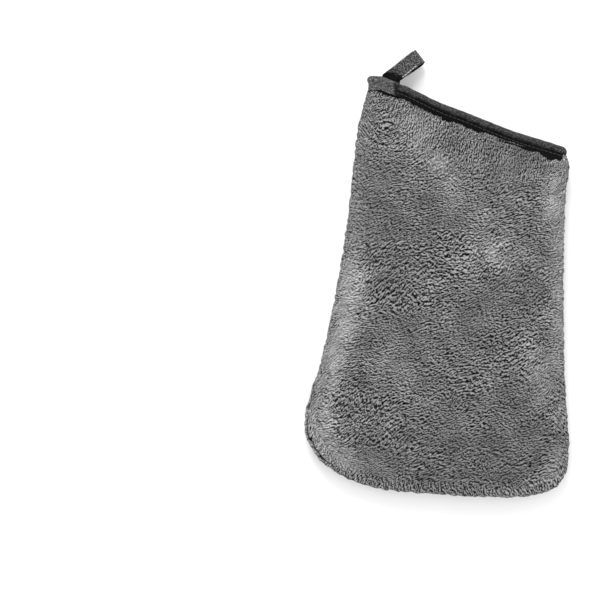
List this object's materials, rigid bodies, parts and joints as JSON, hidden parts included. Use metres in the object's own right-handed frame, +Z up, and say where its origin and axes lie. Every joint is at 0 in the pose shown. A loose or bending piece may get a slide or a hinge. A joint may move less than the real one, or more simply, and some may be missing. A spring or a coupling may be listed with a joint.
{
  "type": "car wash mitt",
  "caption": "Plush wash mitt with a slanted bound cuff, an open hand pocket and a folded tape hanging loop, lying flat on its back panel.",
  "frame": {"origin": "on the table, under the middle of the mitt's bounding box", "axes": "+X across the hand, +Y from the finger end towards the cuff, +Z up from the back panel to the front panel"},
  "size_m": [0.1769, 0.3003, 0.0399],
  "materials": {
    "plush_pile": "deep, soft mid-grey microfibre pile with short curved partings",
    "binding_tape": "woven near-black polyester binding tape",
    "loop_tape": "coarse woven dark grey tape with lighter flecks",
    "sewing_thread": "dark spun polyester thread"
  },
  "bodies": {
    "mitt": {"front_panel": "plush_pile", "back_panel": "plush_pile", "side_seam_overlock": "sewing_thread", "cuff_binding": "binding_tape", "binding_needle_thread": "sewing_thread", "binding_bobbin_thread": "sewing_thread", "hang_loop_upper_tail": "loop_tape", "hang_loop_lower_tail": "loop_tape"},
    "loop": {"hang_loop": "loop_tape", "hang_loop_edge_thread": "sewing_thread"}
  },
  "joints": [
    {"name": "loop_fold", "type": "hinge", "parent": "mitt", "child": "loop", "pos_m": [-0.0303, 0.13188, 0.0114], "axis": [0.944, -0.33, 0], "range_deg": [0, 95]}
  ]
}
